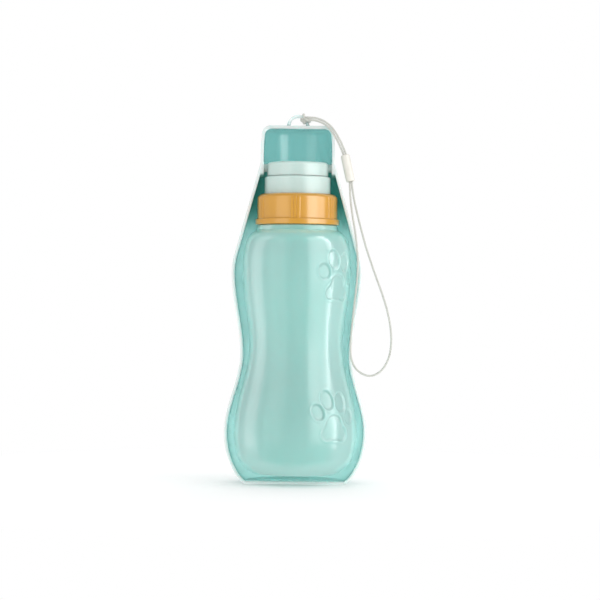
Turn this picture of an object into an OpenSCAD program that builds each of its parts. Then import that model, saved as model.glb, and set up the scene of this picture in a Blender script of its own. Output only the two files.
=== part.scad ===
// Dog travel water bottle: a squeeze bottle with a screw collar and a twist
// mouthpiece, carried in a hinged drinking tray with a wrist cord on its end.
// Millimetres. Z runs up the bottle's axis, the open side of the tray faces -Y,
// and the origin is where that axis meets the surface that the tray stands on.

/* [Bottle] */
// Radius of the flat foot
foot_r = 26; // [25:0.5:30]
// Height of the rounded corner above the foot
foot_corner_h = 10.5; // [6:0.5:12]
// Radius at the foot of the lower bulge, above the corner
heel_r = 35.8; // [34:0.2:37]
// Radius of the lower bulge
lower_bulge_r = 38; // [36.5:0.1:40]
// Height of the lower bulge above the foot
lower_bulge_up = 25.8; // [20:0.2:34]
// Radius of the waist
waist_r = 28.8; // [26:0.2:32]
// Height of the waist above the foot
waist_up = 79.3; // [74:0.1:88]
// Radius of the upper bulge
upper_bulge_r = 33.3; // [31:0.1:36]
// Height of the upper bulge above the foot
upper_bulge_up = 122.8; // [116:0.2:130]
// Radius where the shoulder turns in
shoulder_r = 32; // [30:0.2:33]
// Height of the shoulder's turn, down from the neck ring
shoulder_drop = 9.4; // [7:0.2:12]
// Height of the neck ring above the foot
shoulder_up = 150.3; // [144:0.1:158]
// Wall of the blow-moulded bottle
bottle_wall = 1.3; // [0.8:0.1:2]
// Rise of the pushed-up base
push_up = 3.2; // [1:0.2:5]

/* [Neck] */
// Radius of the neck ring
neck_ring_r = 24.8; // [23.5:0.1:26]
// Height of the neck ring
neck_ring_h = 3; // [1.5:0.1:4]
// Outer radius of the neck
neck_r = 22.2; // [21.6:0.1:22.6]
// Wall of the neck
neck_wall = 2; // [1.4:0.1:3]
// Height of the neck above its ring
neck_h = 13.2; // [10:0.2:18]

/* [Screw collar] */
// Wall of the collar beside the neck
collar_wall = 2.7; // [2.4:0.1:4.5]
// Play between the neck and the collar
thread_play = 0.5; // [0.3:0.05:0.8]
// Thickness of the lip that holds the mouthpiece down
collar_lip = 2.4; // [1.6:0.1:4]
// Radius of the rounded shoulder
collar_round = 4.5; // [2:0.25:4.5]
// How far the foot flange stands out
collar_flange = 0.6; // [0.2:0.1:1.5]
// Height of the foot flange
collar_flange_h = 3.4; // [2:0.2:5]
// Number of grip panels
panel_count = 6; // [4:1:8]
// Width of the rib between two panels, in degrees
rib_angle = 13; // [8:1:20]
// Depth of a panel
panel_depth = 0.6; // [0.3:0.1:1]
// Angle of the rib nearest the front, from straight ahead
rib_turn = -3; // [-30:1:30]

/* [Mouthpiece] */
// Outer radius of the lower tier
base_r = 20.4; // [19.8:0.1:21]
// Height of the lower tier above the collar
base_tier_h = 10.7; // [8:0.1:16]
// Wall of the lower tier round the valve
base_wall = 3; // [2.4:0.1:3.6]
// Thickness of the flange under the collar's lip
base_flange_h = 2.2; // [1.5:0.1:3]
// Thickness of the neck gasket
gasket_h = 1.4; // [1:0.1:2]
// Thickness of the valve deck
deck_h = 2.8; // [2:0.1:3.2]
// Thickness of the valve seal
seal_h = 1.8; // [1.2:0.1:2.2]
// Step from the lower tier in to the twist cap
tier_step = 1.4; // [0.8:0.1:1.9]
// Height of the twist cap's head
cap_h = 8.4; // [8:0.1:9.6]
// Thickness of the twist cap's top
cap_top = 2.4; // [1.6:0.1:2.8]
// Radius of the drinking outlet
outlet_r = 3.5; // [2:0.25:5]
// Radius of the twist cap's stem
stem_r = 2.9; // [2.2:0.1:3.6]
// Radius of the O-ring's section
o_ring_r = 1; // [0.8:0.05:1.1]
// Inner radius of the valve's ports
port_in_r = 6; // [5.6:0.2:8]
// Outer radius of the valve's ports
port_out_r = 12.4; // [10:0.2:13]
// Opening of each port, in degrees
port_angle = 64; // [40:2:76]

/* [Tray hinge] */
// Radius of the hinge pins
pin_r = 2.5; // [2:0.1:3]
// Radial play of a pin in its ear
pin_play = 0.08; // [0.04:0.02:0.1]
// Height of the pins above the underside of the twist cap's head
hinge_up = 5.1; // [4:0.1:5.2]
// Radius of the hinge ears
ear_r = 6; // [5.5:0.1:6.4]
// Gap between the twist cap's side and an ear
ear_gap = 1.9; // [1.6:0.1:2.4]

/* [Drinking tray] */
// Wall of the tray
tray_wall = 1.8; // [1.4:0.1:2.4]
// Gap between the tray's floor and the foot of the bottle
foot_gap = 4.8; // [3.4:0.1:6]
// Side gap between tray and bottle at the lower bulge
lower_gap = 4.2; // [4:0.1:8]
// Side gap between tray and bottle at the waist
waist_gap = 3.8; // [3:0.2:8]
// Side gap between tray and bottle at the upper bulge
upper_gap = 5.1; // [4:0.2:8]
// Side gap between the tray's head and the twist cap
head_gap = 2.15; // [2:0.05:3]
// Back gap between tray and bottle
back_gap = 4.2; // [3:0.1:6]
// Back gap between the tray's head and the twist cap
head_back_gap = 4.5; // [3:0.1:6]
// How far the rim lies in front of the bottle's axis
rim_front = 5.5; // [3:0.25:6]
// How far the rim is drawn back at the head end
head_rim_back = 9; // [8:0.25:11]
// Height of the tray's head above the hinge
head_h = 27.4; // [26:0.1:27.6]
// Thickness of the head's end wall
head_wall = 2.2; // [1.6:0.1:3]
// Corner radius of the head
head_corner = 4.5; // [3.5:0.25:6]
// Half width of the flat foot
tray_foot_w = 31; // [28:0.5:34]
// Depth of the flat foot behind the axis
tray_foot_d = 31; // [28:0.5:34]

/* [Eyelet and wrist cord] */
// Radius of the eyelet's ring, to the middle of its bar
eyelet_r = 5.9; // [5.5:0.1:6.5]
// Radius of the eyelet's bar
eyelet_bar_r = 1.05; // [0.9:0.05:1.1]
// How far the eyelet lies behind the axis
eyelet_back = 12.5; // [12:0.5:15]
// Diameter of the cord
cord_d = 1.4; // [1.2:0.1:1.5]
// Radius of the sleeve
sleeve_r = 2.8; // [2.4:0.1:3]

/* [Hidden] */
$fn = 96;

// Colours of the real plastics
aqua = [0.55, 0.80, 0.76];
orange = [0.95, 0.69, 0.30];
pale_mint = [0.89, 0.95, 0.93];
silicone_white = [0.93, 0.93, 0.90];
cord_grey = [0.80, 0.80, 0.77];
sleeve_grey = [0.87, 0.86, 0.82];

// Small clearances between faces that slide or rest on each other
face_play = 0.1;
ring_gap = 0.3;
tier_gap = 0.3;
seat_play = 0.3;
gasket_inset = 0.2;
cut = 1;
eps = 0.01;

// Heights, stacked from the surface that the tray stands on
foot_z = tray_wall + foot_gap;
heel_z = foot_z + foot_corner_h;
lower_z = foot_z + lower_bulge_up;
waist_z = foot_z + waist_up;
upper_z = foot_z + upper_bulge_up;
ring_z = foot_z + shoulder_up;
ring_top = ring_z + neck_ring_h;
neck_top = ring_top + neck_h;
gasket_z = neck_top + face_play;
flange_z = gasket_z + gasket_h;
flange_top = flange_z + base_flange_h;
collar_z = ring_top + ring_gap;
lip_z = flange_top + face_play;
collar_top = lip_z + collar_lip;
base_top = collar_top + base_tier_h;
cap_z = base_top + tier_gap;
cap_top_z = cap_z + cap_h;
hinge_z = cap_z + hinge_up;
tray_top = hinge_z + head_h;

// Radii that follow from the neck and the mouthpiece
cap_r = base_r - tier_step;
collar_bore_r = neck_r + thread_play;
collar_r = collar_bore_r + collar_wall;
collar_hole_r = base_r + seat_play;
base_flange_r = collar_bore_r - seat_play;
neck_bore_r = neck_r - neck_wall;
gasket_r = neck_r - face_play;
gasket_hole_r = neck_bore_r + gasket_inset;
valve_r = base_r - base_wall;
spigot_r = valve_r - seat_play;

// The valve: deck, seal and spigot stand on each other inside the lower tier
spigot_h = 4.6;
spigot_z = cap_z - spigot_h;
seal_z = spigot_z - face_play - seal_h;
deck_z = seal_z - deck_h;
spigot_floor = 2.2;
groove_floor = 1.6;
groove_play = 0.1;
groove_lift = 0.4;
o_ring_squeeze = 0.05;
chamber_r = spigot_r - 2 * o_ring_r - groove_floor;
o_ring_z = spigot_z + spigot_h / 2 + groove_lift;
o_ring_centre_r = valve_r - o_ring_squeeze - o_ring_r;
stem_play = 0.1;
snap_lip = 0.9;
snap_h = 1.2;
snap_point = 0.4;
snap_gap = 0.4;

// A smooth curve through stations of [height, value, slope]
function smooth(t, a, b) =
    let (h = b[0] - a[0], u = (t - a[0]) / h, u2 = u * u, u3 = u2 * u)
    (2 * u3 - 3 * u2 + 1) * a[1] + (u3 - 2 * u2 + u) * h * a[2]
    + (3 * u2 - 2 * u3) * b[1] + (u3 - u2) * h * b[2];
function along(t, s, i = 0) =
    t <= s[0][0] ? s[0][1]
    : i >= len(s) - 1 ? s[len(s) - 1][1]
    : t <= s[i + 1][0] ? smooth(t, s[i], s[i + 1])
    : along(t, s, i + 1);
function slope_of(t, s) = along(t + 0.5, s) - along(t - 0.5, s);

// Bottle profile: foot corner, lower bulge, waist, upper bulge and shoulder
foot_slope = 1.6;
heel_slope = 0.25;
shoulder_start_slope = -0.28;
shoulder_end_slope = -1.8;
bottle_profile = [
    [foot_z, foot_r, foot_slope],
    [heel_z, heel_r, heel_slope],
    [lower_z, lower_bulge_r, 0],
    [waist_z, waist_r, 0],
    [upper_z, upper_bulge_r, 0],
    [ring_z - shoulder_drop, shoulder_r, shoulder_start_slope],
    [ring_z, neck_ring_r, shoulder_end_slope]
];
function bottle_r(z) = along(z, bottle_profile);
profile_steps = 60;
function profile_z(i) = foot_z + (ring_z - foot_z) * i / profile_steps;

// The pushed-up base rises smoothly from the ring that the bottle stands on
foot_ring = 4;
dish_r = foot_r - foot_ring;
dish_steps = 10;
function dish(i) =
    let (u = i / dish_steps) [dish_r * u, foot_z + push_up * (1 + cos(180 * u)) / 2];

// The inside follows the outside, and runs up into the neck's bore at 45 degrees
function inside_r(z) = min(bottle_r(z) - bottle_wall, neck_bore_r + ring_z + bottle_wall - z);

module bottle_outline() {
    base = [for (i = [0:dish_steps]) dish(i)];
    outer = [for (i = [0:profile_steps]) [bottle_r(profile_z(i)), profile_z(i)]];
    neck = [
        [neck_ring_r, ring_top],
        [neck_r, ring_top],
        [neck_r, neck_top],
        [neck_bore_r, neck_top],
        [neck_bore_r, ring_z + bottle_wall]
    ];
    inner = [
        for (i = [profile_steps:-1:1])
            [inside_r(profile_z(i)), profile_z(i) + bottle_wall / 2]
    ];
    inner_base = [for (i = [dish_steps:-1:0]) dish(i) + [0, bottle_wall]];
    polygon(concat(base, outer, neck, inner, inner_base));
}

module bottle() {
    color(aqua) rotate_extrude() bottle_outline();
}

module screw_collar() {
    flange_r = collar_r + collar_flange;
    panel_span = 360 / panel_count - rib_angle;
    line_w = 0.5;
    line_depth = 0.3;
    line_turn = 2.2;
    panel_z = collar_z + collar_flange_h + 0.2;
    side_top = collar_top - collar_round;
    color(orange) difference() {
        rotate_extrude() difference() {
            union() {
                translate([0, collar_z]) square([flange_r, collar_flange_h]);
                translate([0, collar_z]) square([collar_r, side_top - collar_z]);
                translate([0, collar_z]) square([collar_r - collar_round, collar_top - collar_z]);
                translate([collar_r - collar_round, side_top]) circle(collar_round);
            }
            translate([-eps, collar_z - cut]) square([collar_bore_r + eps, lip_z - collar_z + cut]);
            translate([-collar_r, collar_z]) square([collar_r + collar_hole_r, collar_top - collar_z + cut]);
        }
        for (i = [0:panel_count - 1]) {
            rib_at = -90 + rib_turn + i * 360 / panel_count;
            rotate([0, 0, rib_at + rib_angle / 2])
                rotate_extrude(angle = panel_span)
                    translate([collar_r - panel_depth, panel_z])
                        square([panel_depth + cut, collar_top - panel_z]);
            for (side = [-1, 1])
                rotate([0, 0, rib_at + side * line_turn])
                    translate([collar_r - line_depth, -line_w / 2, collar_z + collar_flange_h])
                        cube([line_depth + cut, line_w, side_top - collar_z - collar_flange_h]);
        }
    }
}

// Two opposite ports, as sectors of a ring
module ports(z, h, turn) {
    for (a = [0, 180])
        rotate([0, 0, turn + a - port_angle / 2])
            rotate_extrude(angle = port_angle)
                translate([port_in_r, z - cut])
                    square([port_out_r - port_in_r, h + 2 * cut]);
}

// The lower tier: a cup with the valve's deck across it, open below to the bottle
module spout_base() {
    edge = 1.4;
    deck_ledge = 1.4;
    bore_r = valve_r - deck_ledge;
    color(pale_mint) difference() {
        rotate_extrude() {
            difference() {
                union() {
                    translate([0, flange_z]) square([base_flange_r, base_flange_h]);
                    translate([0, flange_z]) square([base_r, base_top - edge - flange_z]);
                    translate([0, flange_z]) square([base_r - edge, base_top - flange_z]);
                    translate([base_r - edge, base_top - edge]) circle(edge, $fn = 48);
                }
                translate([-base_r, flange_z - cut]) square([base_r + bore_r, deck_z - flange_z + cut]);
                translate([-base_r, seal_z]) square([base_r + valve_r, base_top]);
                translate([-base_r, deck_z - cut]) square([base_r + stem_r + stem_play, deck_h + 2 * cut]);
            }
        }
        ports(deck_z, deck_h, 0);
    }
}

module neck_gasket() {
    color(silicone_white) rotate_extrude()
        translate([gasket_hole_r, gasket_z]) square([gasket_r - gasket_hole_r, gasket_h]);
}

module valve_seal() {
    color(silicone_white) difference() {
        translate([0, 0, seal_z]) cylinder(r = valve_r - face_play, h = seal_h);
        translate([0, 0, seal_z - cut]) cylinder(r = stem_r + 2 * stem_play, h = seal_h + 2 * cut);
        ports(seal_z, seal_h, 0);
    }
}

// The half outline of the twist cap's head and of the spigot below it, with the O-ring's groove
module cap_outline() {
    edge = 1.8;
    groove_h = 2 * (o_ring_r + groove_play);
    chamber_z = spigot_z + spigot_floor;
    roof_z = cap_top_z - cap_top;
    difference() {
        union() {
            translate([0, cap_z]) square([cap_r, cap_h - edge]);
            translate([0, cap_z]) square([cap_r - edge, cap_h]);
            translate([cap_r - edge, cap_top_z - edge]) circle(edge, $fn = 48);
            translate([0, spigot_z]) square([spigot_r, spigot_h + eps]);
        }
        translate([-cap_r, spigot_z - cut]) square([cap_r, cap_top_z - spigot_z + 2 * cut]);
        translate([-eps, chamber_z]) square([chamber_r + eps, roof_z - chamber_z]);
        translate([-eps, roof_z - eps]) square([outlet_r + eps, cap_top + cut]);
        translate([o_ring_centre_r - o_ring_r, o_ring_z - groove_h / 2]) square([spigot_r, groove_h]);
    }
}

// The twist cap turns on a stem that snaps through the deck, and carries the tray on two pins
module swivel_cap() {
    pin_inset = 0.4;
    pin_root = chamber_r + 0.5;
    pin_end = tray_half_w(hinge_z) - pin_inset;
    snap_z = deck_z - snap_gap;
    color(pale_mint) {
        difference() {
            union() {
                rotate_extrude() cap_outline();
                for (side = [-1, 1])
                    translate([side * pin_root, 0, hinge_z]) rotate([0, side * 90, 0])
                        cylinder(r = pin_r, h = pin_end - pin_root);
            }
            ports(spigot_z, spigot_floor, 90);
        }
        translate([0, 0, snap_z - snap_h])
            cylinder(r1 = stem_r - snap_point, r2 = stem_r + snap_lip, h = snap_h);
        translate([0, 0, snap_z]) cylinder(r = stem_r, h = spigot_z + eps - snap_z);
    }
}

module swivel_o_ring() {
    color(silicone_white) rotate_extrude()
        translate([o_ring_centre_r, o_ring_z]) circle(o_ring_r, $fn = 32);
}

// The tray's outer skin: half width and depth at each height
lower_w = lower_bulge_r + lower_gap + tray_wall;
waist_w = waist_r + waist_gap + tray_wall;
upper_w = upper_bulge_r + upper_gap + tray_wall;
head_w = cap_r + head_gap + tray_wall;
lower_d = lower_bulge_r + back_gap + tray_wall;
waist_d = waist_r + back_gap + tray_wall;
upper_d = upper_bulge_r + back_gap + tray_wall;
head_d = cap_r + head_back_gap + tray_wall;
flare_up = 3;
flare_z = hinge_z + flare_up;
corner_z = 10;
corner_in_w = 5;
corner_in_d = 3.5;
waist_drop = 6;
bulge_lift = 1.6;
taper_up = 13.6;
taper_in_w = 1.9;
taper_in_d = 1.4;
taper_z = upper_z + taper_up;
taper_w = upper_w - taper_in_w;
taper_d = upper_d - taper_in_d;
taper_slope_w = (head_w - taper_w) / (flare_z - taper_z);
taper_slope_d = (head_d - taper_d) / (flare_z - taper_z);
foot_flare = 1.4;
corner_slope = 0.5;
half_widths = [
    [0, tray_foot_w, foot_flare],
    [corner_z, lower_w - corner_in_w, corner_slope],
    [lower_z, lower_w, 0],
    [waist_z - waist_drop, waist_w, 0],
    [upper_z + bulge_lift, upper_w, 0],
    [taper_z, taper_w, taper_slope_w],
    [flare_z, head_w, taper_slope_w]
];
depths = [
    [0, tray_foot_d, foot_flare],
    [corner_z, lower_d - corner_in_d, corner_slope],
    [lower_z, lower_d, 0],
    [waist_z - waist_drop, waist_d, 0],
    [upper_z + bulge_lift, upper_d, 0],
    [taper_z, taper_d, taper_slope_d],
    [flare_z, head_d, taper_slope_d]
];
function tray_half_w(z) = along(z, half_widths);
rim_turn_up = 4;
rim_turn_z = hinge_z + rim_turn_up;
function rim_y(z) =
    -rim_front + (rim_front + head_rim_back) * max(0, z - rim_turn_z) / (tray_top - rim_turn_z);

// How far the head's rounded corners draw a skin in, near its own top
function drawn_in(z, top, r) = z > top - r ? r - sqrt(max(0, r * r - pow(z - top + r, 2))) : 0;

// One side-to-side section of a skin: a trough, full at the floor, straight at the rim
side_points = 11;
fullness = 2.3;
function skin_point(w, d, front, u) =
    let (y = front + (d - front) * sin(90 * u), back = max(0, y) / d)
    [w * pow(max(0, 1 - pow(back, fullness)), 1 / fullness), y];
function skin_section(z, inset, top, corner) =
    let (
        w = tray_half_w(z) - inset * norm([1, slope_of(z, half_widths)]) - drawn_in(z, top, corner),
        d = along(z, depths) - inset * norm([1, slope_of(z, depths)]) - drawn_in(z, top, corner),
        front = rim_y(z),
        half = [for (k = [0:side_points]) skin_point(w, d, front, k / side_points)]
    )
    concat(
        [for (p = half) [p[0], p[1], z]],
        [for (k = [side_points - 1:-1:0]) [-half[k][0], half[k][1], z]]
    );

// Heights of a skin's sections: close at the foot and in the head's corners
body_steps = 37;
foot_shares = [0, 0.01, 0.025, 0.045];
foot_share = 0.07;
corner_turns = 4;
function skin_heights(low, top, corner) =
    let (
        straight = top - corner - low,
        body_shares = [for (k = [0:body_steps - 1]) foot_share + (1 - foot_share) * k / body_steps]
    )
    concat(
        [for (s = concat(foot_shares, body_shares)) low + s * straight],
        [for (k = [0:corner_turns]) top - corner + corner * sin(90 * k / corner_turns)]
    );
function skin(inset, low, top, corner) =
    [for (z = skin_heights(low, top, corner)) skin_section(z, inset, top, corner)];

// A skin's faces, as triangles; flip turns them the other way
function facing(t, flip) = flip ? [t[0], t[2], t[1]] : t;
function skin_faces(rows, cols, first, flip) = [
    for (i = [0:rows - 2], j = [0:cols - 2])
        let (a = first + i * cols + j, b = a + 1, c = a + cols, d = c + 1)
        for (t = [[a, c, b], [b, c, d]]) facing(t, flip)
];
function fan_faces(centre, first, cols, flip) = [
    for (j = [0:cols - 1]) facing([centre, first + j, first + (j + 1) % cols], flip)
];

module tray_shell() {
    cols = 2 * side_points + 1;
    outer = skin(0, 0, tray_top, head_corner);
    inner = skin(tray_wall, tray_wall, tray_top - head_wall, head_corner - tray_wall / 2);
    rows = len(outer);
    count = rows * cols;
    in0 = count;
    mid_d = tray_foot_d / 2;
    centres = [
        [0, mid_d, 0],
        [0, mid_d, tray_top],
        [0, mid_d, tray_wall],
        [0, mid_d, tray_top - head_wall]
    ];
    points = concat([for (s = outer) each s], [for (s = inner) each s], centres);
    rim = [
        for (i = [0:rows - 2])
            let (a = i * cols, b = a + cols, p = in0 + a, q = p + cols)
            for (t = [[a, p, b], [b, p, q]]) t
    ];
    other_rim = [
        for (i = [0:rows - 2])
            let (a = (i + 1) * cols - 1, b = a + cols, p = in0 + a, q = p + cols)
            for (t = [[a, b, p], [b, q, p]]) t
    ];
    low_lip = [[0, cols - 1, in0], [cols - 1, in0 + cols - 1, in0]];
    top0 = (rows - 1) * cols;
    top1 = top0 + cols - 1;
    top_lip = [[top0, in0 + top0, top1], [top1, in0 + top0, in0 + top1]];
    faces = concat(
        skin_faces(rows, cols, 0, false),
        skin_faces(rows, cols, in0, true),
        rim,
        other_rim,
        low_lip,
        top_lip,
        fan_faces(2 * count, 0, cols, false),
        fan_faces(2 * count + 1, top0, cols, true),
        fan_faces(2 * count + 2, in0, cols, true),
        fan_faces(2 * count + 3, in0 + top0, cols, false)
    );
    polyhedron(points, faces, convexity = 6);
}

// A hinge ear: a round boss that thickens the side wall inwards, cut off flush with the rim
ear_x = cap_r + ear_gap;
module hinge_ear() {
    function wall_middle(z) = tray_half_w(z) - tray_wall / 2;
    low = hinge_z - ear_r;
    high = hinge_z + ear_r;
    intersection() {
        translate([0, 0, hinge_z]) rotate([0, 90, 0]) cylinder(r = ear_r, h = head_w * 2);
        translate([0, ear_r, 0]) rotate([90, 0, 0]) linear_extrude(height = ear_r + rim_front)
            polygon([
                [ear_x, low],
                [wall_middle(low), low],
                [wall_middle(flare_z), flare_z],
                [wall_middle(high), high],
                [ear_x, high]
            ]);
    }
}

// Half a ring on two short legs that run down into the head's end wall
module eyelet() {
    translate([0, eyelet_back, tray_top]) rotate([90, 0, 0])
        rotate_extrude(angle = 180) translate([eyelet_r, 0]) circle(eyelet_bar_r, $fn = 32);
    for (side = [-1, 1])
        translate([side * eyelet_r, eyelet_back, tray_top - head_wall / 2])
            cylinder(r = eyelet_bar_r, h = head_wall / 2 + eps, $fn = 32);
}

module drinking_tray() {
    color(aqua) difference() {
        union() {
            tray_shell();
            hinge_ear();
            mirror([1, 0, 0]) hinge_ear();
            eyelet();
        }
        translate([-2 * head_w, 0, hinge_z]) rotate([0, 90, 0])
            cylinder(r = pin_r + pin_play, h = 4 * head_w);
    }
}

// The cord's routes, chosen by hand, each point [x, y, z]
lead_route = [
    [4.4, 10.6, 226.8],
    [6.8, 10.3, 227.1],
    [10.4, 9.6, 226.9],
    [14.6, 8.3, 225.5],
    [18.2, 6.6, 223.2],
    [21.6, 4.3, 219.4],
    [24.4, 2.0, 214.7],
    [26.9, -0.2, 209.5],
    [29.1, -1.9, 204.0]
];
loop_route = [
    [32.1, -4.0, 187.2],
    [32.4, -4.8, 183.4],
    [32.8, -6.4, 176.0],
    [33.8, -7.5, 168.0],
    [35.4, -7.8, 158.5],
    [36.8, -7.8, 148.5],
    [37.6, -7.8, 138.0],
    [37.4, -7.8, 128.0],
    [36.4, -7.8, 117.5],
    [35.3, -7.8, 107.0],
    [34.3, -7.8, 96.5],
    [33.6, -7.8, 86.0],
    [34.2, -7.8, 78.0],
    [36.8, -7.7, 72.2],
    [41.0, -7.4, 68.7],
    [45.8, -7.0, 67.4],
    [50.6, -6.6, 69.0],
    [54.6, -6.2, 73.0],
    [57.6, -5.9, 79.5],
    [58.8, -5.7, 88.0],
    [58.2, -5.5, 97.5],
    [56.2, -5.3, 107.5],
    [53.1, -5.1, 117.5],
    [49.6, -4.9, 127.0],
    [46.0, -4.8, 137.0],
    [42.7, -4.7, 146.7],
    [39.8, -4.6, 157.0],
    [37.3, -4.5, 166.5],
    [35.2, -4.4, 175.5],
    [33.9, -4.2, 183.0],
    [33.5, -4.1, 187.0]
];

// A round cord swept along a smooth curve through its route's points
cord_sides = 8;
cord_r = cord_d / 2;
strand_gap = 0.76;
sleeve_play = 0.25;
function curve_point(p, i, u) =
    let (
        n = len(p) - 1,
        a = p[max(0, i - 1)],
        b = p[i],
        c = p[min(n, i + 1)],
        d = p[min(n, i + 2)]
    )
    0.5 * (2 * b + (c - a) * u + (2 * a - 5 * b + 4 * c - d) * u * u + (3 * b - a - 3 * c + d) * u * u * u);
function curve(p, per_span) = concat(
    [for (i = [0:len(p) - 2], k = [0:per_span - 1]) curve_point(p, i, k / per_span)],
    [p[len(p) - 1]]
);
function heading(p, i) =
    let (d = p[min(len(p) - 1, i + 1)] - p[max(0, i - 1)])
    d / norm(d);
function side_of(t) = cross(t, [0, 1, 0]) / norm(cross(t, [0, 1, 0]));
function shifted(p, by) = [for (i = [0:len(p) - 1]) p[i] + by * side_of(heading(p, i))];

module cord(route, per_span) {
    path = curve(route, per_span);
    n = len(path);
    points = [
        for (i = [0:n - 1])
            let (t = heading(path, i), a = side_of(t), b = cross(t, a))
            for (k = [0:cord_sides - 1])
                let (turn = 360 * k / cord_sides)
                path[i] + cord_r * (cos(turn) * a + sin(turn) * b)
    ];
    sides = [
        for (i = [0:n - 2], k = [0:cord_sides - 1])
            let (
                a = i * cord_sides + k,
                b = i * cord_sides + (k + 1) % cord_sides,
                c = a + cord_sides,
                d = b + cord_sides
            )
            for (t = [[a, b, c], [b, d, c]]) t
    ];
    last = (n - 1) * cord_sides;
    ends = concat(
        [for (k = [1:cord_sides - 2]) [0, k + 1, k]],
        [for (k = [1:cord_sides - 2]) [last, last + k, last + k + 1]]
    );
    polyhedron(points, concat(sides, ends), convexity = 8);
}

module lanyard_lead() {
    color(cord_grey) for (side = [-1, 1])
        cord(shifted(lead_route, side * strand_gap), 1);
}

module wrist_loop() {
    color(cord_grey) cord(loop_route, 2);
}

// The sleeve stands on the line from the loop's two ends to the lead's, clear of both by a hair
module lanyard_sleeve() {
    loop_end = (loop_route[0] + loop_route[len(loop_route) - 1]) / 2;
    lead_end = lead_route[len(lead_route) - 1];
    reach = lead_end - loop_end;
    h = norm(reach) - 2 * sleeve_play;
    edge = 0.8;
    color(sleeve_grey) translate(loop_end)
        rotate([0, acos(reach[2] / norm(reach)), atan2(reach[1], reach[0])])
            translate([0, 0, sleeve_play]) rotate_extrude() {
                square([sleeve_r - edge, h]);
                translate([0, edge]) square([sleeve_r, h - 2 * edge]);
                translate([sleeve_r - edge, edge]) circle(edge, $fn = 32);
                translate([sleeve_r - edge, h - edge]) circle(edge, $fn = 32);
            }
}

// A cow hitch: two turns round the eyelet's bar, and the bight that lies over the lead
hitch_angle = 43.5;
hitch_spread = 20.5;
module lanyard_hitch() {
    turn_r = eyelet_bar_r + cord_r + face_play;
    reach = 2 * eyelet_r * sin(hitch_spread);
    color(cord_grey) translate([0, eyelet_back, tray_top])
        rotate([90, 0, 0]) rotate([0, 0, hitch_angle]) {
            for (side = [-1, 1])
                rotate([0, 0, side * hitch_spread]) translate([eyelet_r, 0, 0]) rotate([90, 0, 0])
                    rotate_extrude() translate([turn_r, 0]) circle(cord_r, $fn = 24);
            translate([eyelet_r * cos(hitch_spread), reach / 2, turn_r + cord_r])
                rotate([90, 0, 0]) cylinder(r = cord_r, h = reach, $fn = 24);
        }
}

bottle();
screw_collar();
spout_base();
neck_gasket();
valve_seal();
swivel_cap();
swivel_o_ring();
drinking_tray();
lanyard_hitch();
lanyard_lead();
lanyard_sleeve();
wrist_loop();
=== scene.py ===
"""Looks for a dog's travel water bottle: a squeeze bottle carried in a hinged drinking tray, with a wrist cord."""

import math

import bpy
import numpy as np
from mathutils import Matrix, Vector


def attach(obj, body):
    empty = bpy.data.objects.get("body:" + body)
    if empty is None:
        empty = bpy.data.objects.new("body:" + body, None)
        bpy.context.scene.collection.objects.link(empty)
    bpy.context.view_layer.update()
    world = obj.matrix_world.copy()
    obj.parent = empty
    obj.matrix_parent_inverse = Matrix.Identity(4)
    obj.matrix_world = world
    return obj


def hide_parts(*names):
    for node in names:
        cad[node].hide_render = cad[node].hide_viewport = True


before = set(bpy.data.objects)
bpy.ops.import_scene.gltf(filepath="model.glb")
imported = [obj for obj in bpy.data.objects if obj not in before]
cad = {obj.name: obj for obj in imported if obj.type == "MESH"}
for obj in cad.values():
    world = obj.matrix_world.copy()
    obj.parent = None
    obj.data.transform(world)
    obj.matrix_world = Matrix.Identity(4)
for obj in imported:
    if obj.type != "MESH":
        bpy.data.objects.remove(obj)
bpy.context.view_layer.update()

# Squeeze bottle: one waisted shell of soft low-density polythene, tinted aqua and frosted.
# It is blow moulded, so it has a parting line down both sides.
# Two paws are pressed into the front right, and the same two into the back left.
MM = 0.001
BOTTLE_SIDE = [
    [6.6, 26, 1.6], [17.1, 35.8, 0.25], [32.4, 38, 0], [85.9, 28.8, 0],
    [129.4, 33.3, 0], [147.5, 32, -0.28], [156.9, 24.8, -1.8],
]
FOOT_Z, SHOULDER_TOP = 6.6, 156.9
BOTTLE_WALL = 1.3
DISH_R, PUSH_UP = 22, 3.2
NECK_RING_R, NECK_RING_TOP = 24.8, 159.9
NECK_R, NECK_BORE_R, NECK_TOP = 22.2, 20.2, 173.1
THREAD_PITCH, THREAD_H, THREAD_FROM, THREAD_TO = 3.0, 0.38, 162.2, 171.4
PAW_PLACES = [(40, 36.6), (50.5, 122), (-132, 36.6), (-121.5, 122)]
PAW_LOBES = [(0, 1.6, 6.9), (-5.9, -3.6, 4.7), (0, -3.6, 4.4), (5.9, -4.2, 4.9)]
PAW_TOES = [
    (-11.4, 9.4, 4.2, 5.0, 22), (-4.0, 16.6, 4.5, 6.0, 12),
    (6.6, 15.1, 4.8, 5.8, -10), (14.1, 6.2, 4.4, 4.9, -32),
]
PAW_DEPTH, PAW_WALL, PAW_LIP = 0.8, 1.2, 0.2


def along(z, stations):
    """A smooth curve through stations of [height, value, slope], level beyond both ends."""
    s = np.array(stations, float)
    z = np.clip(np.asarray(z, float), s[0, 0], s[-1, 0])
    i = np.clip(np.searchsorted(s[:, 0], z) - 1, 0, len(s) - 2)
    h = s[i + 1, 0] - s[i, 0]
    u = (z - s[i, 0]) / h
    return ((2 * u**3 - 3 * u**2 + 1) * s[i, 1] + (u**3 - 2 * u**2 + u) * h * s[i, 2]
            + (3 * u**2 - 2 * u**3) * s[i + 1, 1] + (u**3 - u**2) * h * s[i + 1, 2])


def step_in(x):
    """0 below 0, 1 above 1 and smooth between."""
    x = np.clip(x, 0, 1)
    return x * x * (3 - 2 * x)


def span(low, high, pitch):
    """Evenly spaced values from low up to, but not including, high."""
    count = max(1, round((high - low) / pitch))
    return list(low + (high - low) * np.arange(count) / count)


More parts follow.
